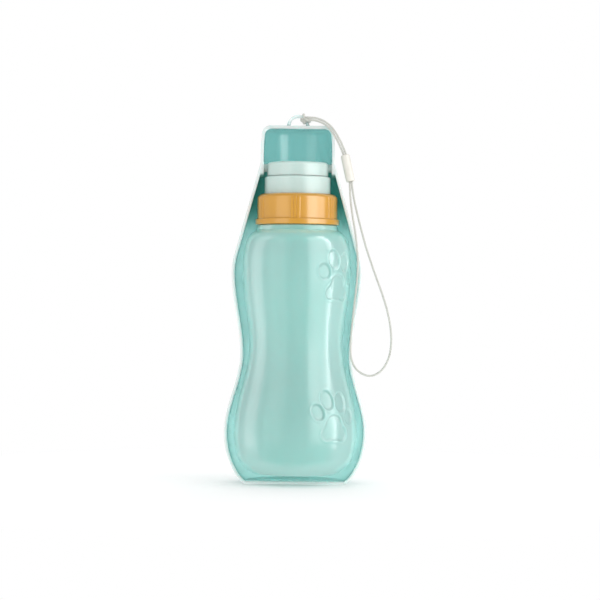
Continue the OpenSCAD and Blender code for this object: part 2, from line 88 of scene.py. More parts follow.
def paw(across, up):
    """How deep the pressed paw is, in mm, at a place across and up from its pad's centre."""
    pad = sum(np.exp((r - np.hypot(across - x, up - y)) / 1.1) for x, y, r in PAW_LOBES)
    outside = [-1.1 * np.log(pad + 1e-9) + 0.6]
    for x, y, a, b, lean in PAW_TOES:
        c, s = math.cos(math.radians(lean)), math.sin(math.radians(lean))
        p, q = (across - x) * c + (up - y) * s, (up - y) * c - (across - x) * s
        k = np.hypot(p / a, q / b)
        outside.append(k * (k - 1) / np.maximum(np.hypot(p / a**2, q / b**2), 1e-6))
    depth = sum(step_in((0.3 - o) / PAW_WALL) * PAW_DEPTH for o in outside)
    lips = sum(PAW_LIP * np.exp(-(((o - 0.85) / 0.5) ** 2)) for o in outside)
    return depth - lips


def lathe_points(rows, turns):
    """Points of a turned piece: rows of (radius, height), and turns in degrees from the front towards the right."""
    r, z = (np.array(rows, float)[:, k][:, None] for k in (0, 1))
    a = np.radians(turns)[None, :]
    return np.stack([r * np.sin(a), -r * np.cos(a), z + 0 * a], -1)


def wrap_faces(rows, cols, loop_rows=False, first=0):
    """Quads of a grid whose columns close on themselves, and whose rows do too if it is a ring."""
    j = np.arange(cols)
    i = np.arange(rows if loop_rows else rows - 1)[:, None]
    a, b = i * cols + j, i * cols + (j + 1) % cols
    c, d = ((i + 1) % rows) * cols + (j + 1) % cols, ((i + 1) % rows) * cols + j
    return (np.stack([a, b, c, d], -1).reshape(-1, 4) + first).tolist()


def make_mesh(name, points, faces, sharp=40):
    """A new mesh object from points in mm, shaded smooth except at edges sharper than the angle."""
    data = bpy.data.meshes.new(name)
    data.from_pydata((np.asarray(points, float).reshape(-1, 3) * MM).tolist(), [], faces)
    data.validate()
    data.polygons.foreach_set("use_smooth", [True] * len(data.polygons))
    data.set_sharp_from_angle(angle=math.radians(sharp))
    made = bpy.data.objects.new(name, data)
    bpy.context.scene.collection.objects.link(made)
    return made


def finish_piece(piece, body, slot, material, *nodes):
    """Gives a piece its material and body, and hides the CAD nodes that it stands for. slot is not used."""
    piece.data.materials.clear()
    piece.data.materials.append(material)
    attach(piece, body)
    if nodes:
        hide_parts(*nodes)
    return piece


def colour(code):
    """An sRGB hex colour as the linear colour that a shader socket takes."""
    parts = [int(code[k:k + 2], 16) / 255 for k in (0, 2, 4)]
    return [c / 12.92 if c <= 0.04045 else ((c + 0.055) / 1.055) ** 2.4 for c in parts] + [1]


def per(mm):
    """A texture's scale for a pattern of that real size in mm."""
    return 1000 / mm


def add_node(tree, kind, links=None, **settings):
    """Adds a shader node. links maps its sockets to values, or to the outputs that feed them."""
    made = tree.nodes.new(kind)
    for key, value in settings.items():
        setattr(made, key, value)
    for socket, value in (links or {}).items():
        if isinstance(value, bpy.types.NodeSocket):
            tree.links.new(value, made.inputs[socket])
        else:
            made.inputs[socket].default_value = value
    return made


def new_material(name):
    """An empty node material and its tree, with an output node."""
    made = bpy.data.materials.new(name)
    made.use_nodes = True
    made.node_tree.nodes.clear()
    return made, made.node_tree, made.node_tree.nodes.new("ShaderNodeOutputMaterial")


turns = span(-180, -162, 4) + span(-162, -86, 0.8) + span(-86, 10, 4) + span(10, 88, 0.8) + span(88, 180, 4)
turns = np.array(turns)
dish = [(DISH_R * u, FOOT_Z + PUSH_UP * (1 + math.cos(math.pi * u)) / 2) for u in np.linspace(0.02, 1, 14)]
heights = (span(FOOT_Z, 12, 0.6) + span(12, 24, 1.2) + span(24, 64, 0.55) + span(64, 109, 1.5)
           + span(109, 149, 0.55) + span(149, SHOULDER_TOP, 0.6) + [SHOULDER_TOP])
side = [(float(along(z, BOTTLE_SIDE)), z) for z in heights]
neck = [(NECK_RING_R, z) for z in (157.5, 158.5, 159.3)]
neck += [(NECK_RING_R - 0.2, 159.75), (NECK_RING_R - 0.5, NECK_RING_TOP), (NECK_R + 0.3, NECK_RING_TOP)]
neck += [(NECK_R, 160.2)] + [(NECK_R, z) for z in span(160.6, 172.3, 0.3)]
neck += [(NECK_R, 172.7), (NECK_R - 0.4, NECK_TOP), (NECK_BORE_R + 0.4, NECK_TOP), (NECK_BORE_R, 172.7)]
bore_foot = NECK_BORE_R + SHOULDER_TOP + BOTTLE_WALL
inside = [(NECK_BORE_R, 166), (NECK_BORE_R, SHOULDER_TOP + BOTTLE_WALL)]
first_in = len(dish) + len(side) + len(neck) + len(inside)
inner_z = heights[-1:0:-1]
inside += [(min(float(along(z, BOTTLE_SIDE)) - BOTTLE_WALL, bore_foot - z), z + BOTTLE_WALL / 2) for z in inner_z]
inside += [(r, z + BOTTLE_WALL) for r, z in dish[::-1]]
shell = lathe_points(dish + side + neck + inside, turns)

# Press the paws into both skins, so that the wall stays even, and the thread and parting lines into the outer one
outer = slice(len(dish), len(dish) + len(side))
inner = slice(first_in, first_in + len(inner_z))
radius = np.hypot(shell[..., 0], shell[..., 1])
height = shell[..., 2]
press = np.zeros_like(radius)
for paw_turn, paw_z in PAW_PLACES:
    off = (turns - paw_turn + 180) % 360 - 180
    for skin, wall_in in ((outer, 0), (inner, BOTTLE_WALL)):
        across = np.radians(off)[None, :] * (radius[skin] + wall_in)
        press[skin] -= paw(across, height[skin] - paw_z) * (np.abs(off) < 60)
seam = np.minimum(np.abs(turns - 90), np.abs(turns + 90))[None, :] * radius[outer] * math.pi / 180
press[outer] += 0.08 * np.exp(-((seam / 1.2) ** 2))
ridge = (height + THREAD_PITCH * turns[None, :] / 360) / THREAD_PITCH % 1
ridge = step_in((0.30 - np.abs(ridge - 0.5)) / 0.14)
ends = step_in((height - THREAD_FROM) / 0.8) * step_in((THREAD_TO - height) / 0.8)
on_neck = (np.abs(radius - NECK_R) < 0.01) & (height > NECK_RING_TOP)
press += THREAD_H * ridge * ends * on_neck
shell[..., :2] *= ((radius + press) / radius)[..., None]
cols = len(turns)
rows = len(shell)
points = shell.reshape(-1, 3).tolist()
faces = wrap_faces(rows, cols)
faces.append(list(range(cols)))
faces.append(list(range(rows * cols - 1, (rows - 1) * cols - 1, -1)))
bottle = make_mesh("squeeze_bottle", points, [f[::-1] for f in faces], sharp=50)

# Frosted polythene: soft, milky and tinted, with a satin skin from the sandblasted mould.
frosted, tree, out = new_material("frosted_polythene")
place = add_node(tree, "ShaderNodeTexCoord").outputs["Object"]
cloud = add_node(tree, "ShaderNodeTexNoise", {"Vector": place, "Scale": per(38), "Detail": 2.0})
grit = add_node(tree, "ShaderNodeTexNoise", {"Vector": place, "Scale": per(0.5), "Detail": 2.0})
tint = add_node(tree, "ShaderNodeMix", {
    0: cloud.outputs["Fac"], 6: colour("A4DBD2"), 7: colour("AFE2DA")}, data_type="RGBA")
skin = add_node(tree, "ShaderNodeMapRange", {
    "Value": grit.outputs["Fac"], "To Min": 0.19, "To Max": 0.24})
bump = add_node(tree, "ShaderNodeBump", {
    "Height": grit.outputs["Fac"], "Strength": 0.1, "Distance": 0.000006})
poly = add_node(tree, "ShaderNodeBsdfPrincipled", {
    "Base Color": tint.outputs[2], "Roughness": skin.outputs["Result"], "IOR": 1.51,
    "Subsurface Weight": 1.0, "Subsurface Radius": [0.7, 1.0, 1.0], "Subsurface Scale": 0.004,
    "Transmission Weight": 0.25, "Normal": bump.outputs["Normal"]})
tree.links.new(poly.outputs[0], out.inputs["Surface"])
finish_piece(bottle, "bottle", "bottle_plastic", frosted, "bottle")

# Neck gasket, valve seal and O-ring: soft white silicone, compression moulded and dusted.
# The gasket lies on the neck's end, the seal on the valve's deck, and the O-ring on the cap's spigot.
silicone, tree, out = new_material("white_silicone_rubber")
place = add_node(tree, "ShaderNodeTexCoord").outputs["Object"]
dust = add_node(tree, "ShaderNodeTexNoise", {"Vector": place, "Scale": per(1.6), "Detail": 3.0})
tint = add_node(tree, "ShaderNodeMix", {
    0: dust.outputs["Fac"], 6: colour("E4E5DF"), 7: colour("EFEFEA")}, data_type="RGBA")
skin = add_node(tree, "ShaderNodeMapRange", {
    "Value": dust.outputs["Fac"], "To Min": 0.45, "To Max": 0.6})
rubber = add_node(tree, "ShaderNodeBsdfPrincipled", {
    "Base Color": tint.outputs[2], "Roughness": skin.outputs["Result"], "IOR": 1.41})
tree.links.new(rubber.outputs[0], out.inputs["Surface"])
for name in ("neck_gasket", "valve_seal", "swivel_o_ring"):
    cad[name].data.materials.clear()
    cad[name].data.materials.append(silicone)

# Mouthpiece: the lower tier is a cup that the collar clamps down, and the upper tier is a twist cap.
# Both are moulded in pale mint polypropylene with a fine satin skin, and the cap carries the hinge pins.
mint, tree, out = new_material("satin_mint_polypropylene")
place = add_node(tree, "ShaderNodeTexCoord").outputs["Object"]
cloud = add_node(tree, "ShaderNodeTexNoise", {"Vector": place, "Scale": per(14), "Detail": 2.0})
grain = add_node(tree, "ShaderNodeTexNoise", {"Vector": place, "Scale": per(0.7), "Detail": 2.0})
tint = add_node(tree, "ShaderNodeMix", {
    0: cloud.outputs["Fac"], 6: colour("BCD0CA"), 7: colour("C7DAD5")}, data_type="RGBA")
skin = add_node(tree, "ShaderNodeMapRange", {
    "Value": grain.outputs["Fac"], "To Min": 0.3, "To Max": 0.4})
bump = add_node(tree, "ShaderNodeBump", {
    "Height": grain.outputs["Fac"], "Strength": 0.1, "Distance": 0.00001})
moulded = add_node(tree, "ShaderNodeBsdfPrincipled", {
    "Base Color": tint.outputs[2], "Roughness": skin.outputs["Result"], "IOR": 1.49,
    "Subsurface Weight": 0.7, "Subsurface Radius": [0.002, 0.003, 0.003], "Subsurface Scale": 1.0,
    "Coat Weight": 0.4, "Coat Roughness": 0.2, "Coat IOR": 1.5, "Normal": bump.outputs["Normal"]})
tree.links.new(moulded.outputs[0], out.inputs["Surface"])
for name in ("spout_base", "swivel_cap"):
    cad[name].data.materials.clear()
    cad[name].data.materials.append(mint)

# Screw collar: a thick ring moulded in orange polypropylene, which screws onto the neck.
# Six shallow panels for the fingers lie between ribs, and each rib has two fine lines cut into it.
COLLAR_BORE_R, COLLAR_R, FLANGE_R = 22.7, 25.4, 26.0
COLLAR_Z, FLANGE_TOP, LIP_Z, COLLAR_TOP = 160.2, 163.6, 176.9, 179.3
COLLAR_ROUND, COLLAR_HOLE_R = 4.5, 20.7
PANEL_R, PANEL_Z, PANEL_EDGE = 24.8, 163.8, 0.55
RIB_FIRST, RIB_PITCH, RIB_HALF = -3, 60, 6.5
LINE_TURN, LINE_HALF, LINE_DEPTH = 2.2, 0.56, 0.3
near = [0, 0.8, 1.4, 1.6, 1.8, 2.0, 2.2, 2.4, 2.6, 2.8, 3.0, 3.8, 4.6, 5.2]
near += [5.6, 5.9, 6.2, 6.5, 6.8, 7.1, 7.5, 8.2, 9.4] + span(11, 30, 2.7)
around = sorted(set([a for a in near] + [-a for a in near] + [30]))[:]
rib_turns = np.array([RIB_FIRST + RIB_PITCH * k + a for k in range(6) for a in around])
ring_rows = [(COLLAR_BORE_R, COLLAR_Z), (FLANGE_R - 0.4, COLLAR_Z), (FLANGE_R - 0.12, COLLAR_Z + 0.12)]
ring_rows += [(FLANGE_R, COLLAR_Z + 0.4), (FLANGE_R, 161.4), (FLANGE_R, 162.6), (FLANGE_R, 163.2)]
ring_rows += [(FLANGE_R - 0.1, 163.48), (FLANGE_R - 0.3, FLANGE_TOP), (COLLAR_R + 0.12, FLANGE_TOP)]
ring_rows += [(COLLAR_R, z) for z in [163.75, 163.95, 164.15, 164.35, 164.6] + span(165, COLLAR_TOP - COLLAR_ROUND, 1.0)]
ring_rows += [(COLLAR_R - COLLAR_ROUND * (1 - math.cos(t)), COLLAR_TOP - COLLAR_ROUND * (1 - math.sin(t)))
              for t in np.linspace(0, math.pi / 2, 14)]
ring_rows += [(COLLAR_HOLE_R, COLLAR_TOP - 0.2), (COLLAR_HOLE_R, LIP_Z)]
ring_rows += [(COLLAR_BORE_R, LIP_Z)] + [(COLLAR_BORE_R, z) for z in (172, 166, 160.6)]
ring = lathe_points(ring_rows, rib_turns)
radius = np.hypot(ring[..., 0], ring[..., 1])
height = ring[..., 2]
from_rib = np.abs((rib_turns - RIB_FIRST + RIB_PITCH / 2) % RIB_PITCH - RIB_PITCH / 2)[None, :]
out_side = (radius > COLLAR_BORE_R + 0.01) & (height > FLANGE_TOP + 0.05)
edge_mm = np.radians(from_rib - RIB_HALF) * COLLAR_R
panel = step_in(edge_mm / PANEL_EDGE + 0.3) * step_in((height - PANEL_Z) / 0.5 + 0.3)
cut = panel * np.maximum(0, radius - PANEL_R)
line = 1 - step_in((np.abs(from_rib - LINE_TURN) - 0.2) / (LINE_HALF - 0.2))
cut += LINE_DEPTH * line * step_in((radius - COLLAR_R + 1.2) / 0.8)
radius_new = radius - cut * out_side
ring[..., :2] *= (radius_new / radius)[..., None]
collar = make_mesh("threaded_collar", ring.reshape(-1, 3).tolist(),
                   [f[::-1] for f in wrap_faces(len(ring), len(rib_turns), True)], sharp=60)

# Gloss-worn polypropylene: a strong orange under a satin skin, a little darker in soft patches at random.
orange, tree, out = new_material("satin_orange_polypropylene")
place = add_node(tree, "ShaderNodeTexCoord").outputs["Object"]
cloud = add_node(tree, "ShaderNodeTexNoise", {"Vector": place, "Scale": per(11), "Detail": 3.0})
grain = add_node(tree, "ShaderNodeTexNoise", {"Vector": place, "Scale": per(0.6), "Detail": 2.0})
tint = add_node(tree, "ShaderNodeMix", {
    0: cloud.outputs["Fac"], 6: colour("C98F22"), 7: colour("CF962A")}, data_type="RGBA")
skin = add_node(tree, "ShaderNodeMapRange", {
    "Value": grain.outputs["Fac"], "To Min": 0.26, "To Max": 0.36})
bump = add_node(tree, "ShaderNodeBump", {
    "Height": grain.outputs["Fac"], "Strength": 0.1, "Distance": 0.00001})
satin = add_node(tree, "ShaderNodeBsdfPrincipled", {
    "Base Color": tint.outputs[2], "Roughness": skin.outputs["Result"], "IOR": 1.49,
    "Coat Weight": 1.0, "Coat Roughness": 0.16, "Coat IOR": 1.5, "Normal": bump.outputs["Normal"]})
tree.links.new(satin.outputs[0], out.inputs["Surface"])
finish_piece(collar, "collar", "collar_plastic", orange, "screw_collar")

# Drinking tray: a deep trough of clear-tinted polypropylene, injection moulded in one piece.
# It has a rounded rim, two ears bored for the cap's pins, a flat foot and a half ring on its head.
TRAY_WIDTHS = [
    [0, 31, 1.4], [10, 39, 0.5], [32.4, 44, 0], [79.9, 34.4, 0],
    [131, 40.2, 0], [143, 38.3, -0.277], [198.4, 22.95, -0.277],
]
TRAY_DEPTHS = [
    [0, 31, 1.4], [10, 40.5, 0.5], [32.4, 44, 0], [79.9, 34.8, 0],
    [131, 39.3, 0], [143, 37.9, -0.227], [198.4, 25.3, -0.227],
]
TRAY_TOP, TRAY_WALL, HEAD_WALL, HEAD_CORNER = 222.8, 1.8, 2.2, 4.5
RIM_FRONT, RIM_BACK, RIM_TURN_Z = 5.5, 9, 199.4
FULLNESS, FOOT_ROUND, RIM_ROUND = 2.3, 0.8, 0.6
HINGE_Z, EAR_R, EAR_X, BORE_R = 195.4, 6, 20.9, 2.58
EYE_R, EYE_BAR, EYE_BACK = 5.9, 1.05, 12.5
SIDE_POINTS = 30


def rim_y(z):
    """How far back the tray's rim lies: level up to the hinge, then leaning back over the head."""
    return -RIM_FRONT + (RIM_FRONT + RIM_BACK) * np.maximum(0, z - RIM_TURN_Z) / (TRAY_TOP - RIM_TURN_Z)


def trough(inset, low, top, corner, foot):
    """Rows of side-to-side sections of one skin of the tray."""
    straight = top - corner - low
    z = low + straight * np.array([0, 0.0005, 0.0012, 0.0022, 0.0035, 0.006, 0.012, 0.02, 0.03, 0.045])
    z = np.concatenate([z, low + straight * np.linspace(0.06, 1, 96)[:-1]])
    z = np.concatenate([z, top - corner + corner * np.sin(np.radians(np.linspace(0, 90, 10)))])
    drawn = corner - np.sqrt(np.maximum(0, corner**2 - np.maximum(0, z - top + corner) ** 2))
    if foot:
        drawn += foot - np.sqrt(np.maximum(0, foot**2 - np.maximum(0, low + foot - z) ** 2))
    sizes = []
    for stations in (TRAY_WIDTHS, TRAY_DEPTHS):
        slope = along(z + 0.5, stations) - along(z - 0.5, stations)
        sizes.append(along(z, stations) - inset * np.hypot(1, slope) - drawn)
    w, d = sizes[0][:, None], sizes[1][:, None]
    front = rim_y(z)[:, None] + RIM_ROUND
    u = np.sin(np.radians(90 * np.linspace(0, 1, SIDE_POINTS + 1)))[None, :]
    y = front + (d - front) * u
    x = w * np.maximum(0, 1 - (np.maximum(0, y) / d) ** FULLNESS) ** (1 / FULLNESS)
    half = np.stack([x, y, z[:, None] + 0 * x], -1)
    return np.concatenate([half, half[:, -2::-1] * [-1, 1, 1]], 1)


skin_out = trough(0, 0, TRAY_TOP, HEAD_CORNER, FOOT_ROUND)
skin_in = trough(TRAY_WALL, TRAY_WALL, TRAY_TOP - HEAD_WALL, HEAD_CORNER - TRAY_WALL / 2, 0)
lip = []
for t in np.radians([30, 60, 90, 120, 150]):
    for first, last in ((skin_out[:, -1:], skin_in[:, -1:]),):
        share = (1 - math.cos(t)) / 2
        bead = first + (last - first) * share
        bead[..., 1] = np.minimum(first[..., 1], bead[..., 1]) - RIM_ROUND * math.sin(t)
        lip.append(bead)
right_lip = [b * [-1, 1, 1] for b in lip]
loop = np.concatenate([skin_out] + lip + [skin_in[:, ::-1]] + right_lip[::-1], 1)
rows, cols = loop.shape[:2]
faces = wrap_faces(rows, cols)
faces.append(list(range(cols))[::-1])
faces.append(list(range((rows - 1) * cols, rows * cols)))
tray = make_mesh("drinking_trough", loop.reshape(-1, 3), faces)


def close_caps(piece):
    """Splits the two end loops into an outer plate, an inner plate and the strip between them."""
    data = piece.data
    n = 2 * SIDE_POINTS + 1
    keep = [list(p.vertices) for p in data.polygons if len(p.vertices) == 4]
    k = len(lip)
    for base, flip in ((0, True), ((rows - 1) * cols, False)):
        outer_plate = [base + i for i in range(n)]
        inner_plate = [base + i for i in range(n + k, n + k + n)]
        strip = ([base] + [base + i for i in range(cols - 1, cols - 1 - k, -1)] + [inner_plate[-1]]
                 + [inner_plate[0]] + [base + i for i in range(n + k - 1, n - 1, -1)] + [outer_plate[-1]])
        for plate in (outer_plate, inner_plate, strip):
            keep.append(plate[::-1] if flip else plate)
    return keep


faces = close_caps(tray)
points = loop.reshape(-1, 3)
bpy.data.objects.remove(tray)
tray = make_mesh("drinking_trough", points, faces)


def tube(name, path, radii, sides, side=(0, 1, 0)):
    """A closed round bar along a path of points, with its own radius at each."""
    path, radii = np.array(path, float), np.array(radii, float)
    heading = np.gradient(path, axis=0)
    heading /= np.linalg.norm(heading, axis=1)[:, None]
    a = np.cross(heading, side)
    a /= np.linalg.norm(a, axis=1)[:, None]
    b = np.cross(heading, a)
    t = np.radians(360 * np.arange(sides) / sides)[None, :, None]
    ring = path[:, None] + radii[:, None, None] * (np.cos(t) * a[:, None] + np.sin(t) * b[:, None])
    faces = wrap_faces(len(path), sides)
    faces.append(list(range(sides))[::-1])
    faces.append(list(range((len(path) - 1) * sides, len(path) * sides)))
    return make_mesh(name, ring, faces)


def ear(side):
    """A round boss on the inside of one wall, cut off flush with the rim; the pin's bore is cut into it later."""
    t = np.radians(np.arange(0, 360, 5))
    rings = []
    for x, r in ((EAR_X, EAR_R - 0.5), (EAR_X + 0.15, EAR_R - 0.15), (EAR_X + 0.5, EAR_R), (None, EAR_R)):
        y = np.maximum(r * np.cos(t), -RIM_FRONT + (0.08 if x is None or r == EAR_R else 0.4))
        z = HINGE_Z + r * np.sin(t)
        wall = along(z, TRAY_WIDTHS) - TRAY_WALL * 0.45
        rings.append(np.stack([side * (wall if x is None else x + 0 * z), y, z], -1))
    n = len(t)
    faces = wrap_faces(4, n) + [list(range(n))[::-1], list(range(3 * n, 4 * n))]
    return make_mesh("ear", np.stack(rings), faces if side > 0 else [f[::-1] for f in faces])


def merge(piece, other, how):
    """Joins another closed mesh to the piece, or cuts it out, and throws the other away."""
    change = piece.modifiers.new(how, "BOOLEAN")
    change.operation, change.object, change.solver = how, other, "EXACT"
    bpy.context.view_layer.update()
    done = bpy.data.meshes.new_from_object(piece.evaluated_get(bpy.context.evaluated_depsgraph_get()))
    piece.modifiers.clear()
    piece.data = done
    bpy.data.objects.remove(other)


bow = [(-EYE_R, EYE_BACK, TRAY_TOP - 1.1), (-EYE_R, EYE_BACK, TRAY_TOP - 0.05), (-EYE_R, EYE_BACK, TRAY_TOP + 0.2)]
bow_r = [EYE_BAR + 0.5, EYE_BAR + 0.5, EYE_BAR + 0.22]
arch = [(-EYE_R * math.cos(a), EYE_BACK, TRAY_TOP + EYE_R * math.sin(a)) for a in np.radians(span(6, 180, 6))]
arch_r = [EYE_BAR + 0.06] + [EYE_BAR] * (len(arch) - 2) + [EYE_BAR + 0.06]
bow, bow_r = bow + arch + [(-x, y, z) for x, y, z in bow[::-1]], bow_r + arch_r + bow_r[::-1]
eye = tube("eye", bow, bow_r, 20)
pin_line = [(x, 0, HINGE_Z) for x in (-60, 60)]
for other, how in ((ear(1), "UNION"), (ear(-1), "UNION"), (eye, "UNION"),
                   (tube("bore", pin_line, [BORE_R] * 2, 48), "DIFFERENCE")):
    merge(tray, other, how)
tray.data.polygons.foreach_set("use_smooth", [True] * len(tray.data.polygons))
tray.data.set_sharp_from_angle(angle=math.radians(38))
co = np.array([v.co for v in tray.data.vertices]) / MM
# Painted glow: points at the rim's front, and the half ring above the tray, are marked to be painted whitish for light
# the rim gathers.
painted_rim_glow = np.clip(1.5 - (co[:, 1] - rim_y(co[:, 2])) / 1.2, 0, 1)
painted_rim_glow = np.maximum(painted_rim_glow, np.clip((co[:, 2] - TRAY_TOP - 0.1) / 0.8, 0, 1) * 0.8)
tray.data.attributes.new("rim", "FLOAT", "POINT").data.foreach_set("value", painted_rim_glow.astype(np.float32))

# Tinted polypropylene: clear enough to glow and glossy inside. Its rim and the half ring on its head are painted
# whitish and made less clear, a painted glow for the light that gathers in the rim.
clear, tree, out = new_material("clear_tinted_polypropylene")
place = add_node(tree, "ShaderNodeTexCoord").outputs["Object"]
rim_glow_mask = add_node(tree, "ShaderNodeAttribute", attribute_name="rim", attribute_type="GEOMETRY")
flow = add_node(tree, "ShaderNodeTexNoise", {"Vector": place, "Scale": per(45), "Detail": 2.0})
haze = add_node(tree, "ShaderNodeTexNoise", {"Vector": place, "Scale": per(1.2), "Detail": 2.0})
height_of = add_node(tree, "ShaderNodeSeparateXYZ", {0: place}).outputs["Z"]
# Painted shade: from 150 to 175 mm up the tray turns to a darker, greyer green and is made milkier, for the shade
# beside the mouthpiece and collar; from 196 to 200 mm it turns to the head's tint and clear again.
painted_shade_band = add_node(tree, "ShaderNodeMapRange", {
    "Value": height_of, "From Min": 0.15, "From Max": 0.175}, interpolation_type="SMOOTHSTEP")
head = add_node(tree, "ShaderNodeMapRange", {
    "Value": height_of, "From Min": 0.196, "From Max": 0.2}, interpolation_type="SMOOTHSTEP")
pale_tint = add_node(tree, "ShaderNodeMix", {
    0: flow.outputs["Fac"], 6: colour("BCEBE6"), 7: colour("C6F0EB")}, data_type="RGBA")
# Painted shade colour 6FA59C below the head, and the head's own tint 90C9C6 above it.
painted_shade_and_head_tint = add_node(tree, "ShaderNodeMix", {
    0: head.outputs["Result"], 6: colour("6FA59C"), 7: colour("90C9C6")}, data_type="RGBA")
body_tint = add_node(tree, "ShaderNodeMix", {
    0: painted_shade_band.outputs["Result"], 6: pale_tint.outputs[2], 7: painted_shade_and_head_tint.outputs[2]}, data_type="RGBA")
# Painted glow: where marked, the rim is painted whitish DEE9E6, and further down it is made far less clear.
tint = add_node(tree, "ShaderNodeMix", {
    0: rim_glow_mask.outputs["Fac"], 6: body_tint.outputs[2], 7: colour("DEE9E6")}, data_type="RGBA")
skin = add_node(tree, "ShaderNodeMapRange", {
    "Value": haze.outputs["Fac"], "To Min": 0.12, "To Max": 0.2})
milky = add_node(tree, "ShaderNodeMapRange", {"Value": painted_shade_band.outputs["Result"], "To Min": 0.7, "To Max": 0.25})
head_clear = add_node(tree, "ShaderNodeMapRange", {
    "Value": head.outputs["Result"], "To Min": milky.outputs["Result"], "To Max": 0.7})
clear_share = add_node(tree, "ShaderNodeMapRange", {
    "Value": rim_glow_mask.outputs["Fac"], "To Min": head_clear.outputs["Result"], "To Max": 0.1})
glow = add_node(tree, "ShaderNodeBsdfPrincipled", {
    "Base Color": tint.outputs[2], "Roughness": skin.outputs["Result"], "IOR": 1.49,
    "Subsurface Weight": 1.0, "Subsurface Radius": [0.7, 1.0, 1.0], "Subsurface Scale": 0.006,
    "Transmission Weight": clear_share.outputs["Result"]})
tree.links.new(glow.outputs[0], out.inputs["Surface"])
finish_piece(tray, "tray", "tray_plastic", clear, "drinking_tray")

# Wrist cord: three strands of spun polyester laid into one fine cord, 1.4 mm thick.
# It is one cord: a cow hitch on the tray's half ring, a doubled lead, a sleeve and an open loop.
STRAND_R, LAY_R, LAY = 0.37, 0.35, 3.0
LEAD_ROUTE = [
    [4.4, 10.6, 226.8], [6.8, 10.3, 227.1], [10.4, 9.6, 226.9], [14.6, 8.3, 225.5], [18.2, 6.6, 223.2],
    [21.6, 4.3, 219.4], [24.4, 2.0, 214.7], [26.9, -0.2, 209.5], [29.1, -1.9, 204.0],
]
LOOP_ROUTE = [
    [32.1, -4.0, 187.2], [32.4, -4.8, 183.4], [32.8, -6.4, 176.0], [33.8, -7.5, 168.0], [35.4, -7.8, 158.5],
    [36.8, -7.8, 148.5], [37.6, -7.8, 138.0], [37.4, -7.8, 128.0], [36.4, -7.8, 117.5], [35.3, -7.8, 107.0],
    [34.3, -7.8, 96.5], [33.6, -7.8, 86.0], [34.2, -7.8, 78.0], [36.8, -7.7, 72.2], [41.0, -7.4, 68.7],
    [45.8, -7.0, 67.4], [50.6, -6.6, 69.0], [54.6, -6.2, 73.0], [57.6, -5.9, 79.5], [58.8, -5.7, 88.0],
    [58.2, -5.5, 97.5], [56.2, -5.3, 107.5], [53.1, -5.1, 117.5], [49.6, -4.9, 127.0], [46.0, -4.8, 137.0],
    [42.7, -4.7, 146.7], [39.8, -4.6, 157.0], [37.3, -4.5, 166.5], [35.2, -4.4, 175.5], [33.9, -4.2, 183.0],
    [33.5, -4.1, 187.0],
]
STRAND_GAP = 0.76
HITCH_AT = 43.5
KNOT_SWELL, KNOT_REACH = 0.5, 3.4
HITCH_HALF = [
    (318, 0.9, 1.8), (270, 1.35, 1.8), (225, 1.85, 1.8), (180, 2.1, 1.8),
    (135, 2.15, 1.8), (90, 2.15, 1.85), (52, 2.1, 2.2), (22, 1.7, 2.9), (4, 0.75, 3.25),
]


def run_through(points, pitch):
    """Even points, a pitch apart, along a smooth curve through the given ones."""
    p = np.array(points, float)
    p = np.concatenate([[2 * p[0] - p[1]], p, [2 * p[-1] - p[-2]]])
    u = np.arange(0, 1, 0.04)[:, None]
    line = [0.5 * (2 * p[i] + (p[i + 1] - p[i - 1]) * u
                   + (2 * p[i - 1] - 5 * p[i] + 4 * p[i + 1] - p[i + 2]) * u**2
                   + (3 * p[i] - p[i - 1] - 3 * p[i + 1] + p[i + 2]) * u**3)
            for i in range(1, len(p) - 2)]
    line = np.concatenate(line + [p[-2:-1]])
    run = np.concatenate([[0], np.cumsum(np.linalg.norm(np.diff(line, axis=0), axis=1))])
    even = np.linspace(0, run[-1], int(run[-1] / pitch) + 1)
    return np.stack([np.interp(even, run, line[:, k]) for k in range(3)], 1)


def laid_cord(name, path, pitch, swell):
    """Three strands twisted along a path of even points, as one mesh. swell is how many times its size each is."""
    heading = np.gradient(path, axis=0)
    heading /= np.linalg.norm(heading, axis=1)[:, None]
    a = np.zeros_like(path)
    a[0] = np.cross(heading[0], [0.3, 0.9, 0.2])
    for i in range(len(path)):
        a[i] = a[max(0, i - 1)] - heading[i] * np.dot(a[max(0, i - 1)], heading[i])
        a[i] /= np.linalg.norm(a[i])
    b = np.cross(heading, a)
    sides = 9
    round_it = np.radians(360 * np.arange(sides) / sides)[None, :, None]
    points, faces = [], []
    for k in range(3):
        t = (2 * math.pi * (np.arange(len(path)) * pitch / LAY + k / 3))[:, None]
        out_way = np.cos(t) * a + np.sin(t) * b
        over = np.cross(heading, out_way)
        ring = ((path + LAY_R * swell[:, None] * out_way)[:, None]
                + STRAND_R * swell[:, None, None] * (np.cos(round_it) * out_way[:, None] + np.sin(round_it) * over[:, None]))
        first = k * ring.shape[0] * sides
        faces += wrap_faces(len(path), sides, first=first)
        faces += [list(range(first, first + sides))[::-1],
                  list(range(first + (len(path) - 1) * sides, first + len(path) * sides))]
        points.append(ring.reshape(-1, 3))
    return make_mesh(name, np.concatenate(points), faces, sharp=80)


lead = np.array(LEAD_ROUTE)
heading = np.gradient(lead, axis=0)
beside = np.cross(heading, [0, 1, 0])
beside /= np.linalg.norm(beside, axis=1)[:, None]
sleeve_foot = (np.array(LOOP_ROUTE[0]) + LOOP_ROUTE[-1]) / 2
sleeve_top = lead[-1]
sleeve_way = (sleeve_top - sleeve_foot) / np.linalg.norm(sleeve_top - sleeve_foot)


def hitch_point(turn, along_bar, r):
    """A place round the half ring's bar: turn 0 is in front of it and 90 outside it."""
    at = math.radians(HITCH_AT) + along_bar / EYE_R
    outward = np.array([math.cos(at), 0, math.sin(at)])
    front = np.array([0, -1, 0])
    turn = math.radians(turn)
    return np.array([0, EYE_BACK, TRAY_TOP]) + EYE_R * outward + r * (math.cos(turn) * front + math.sin(turn) * outward)


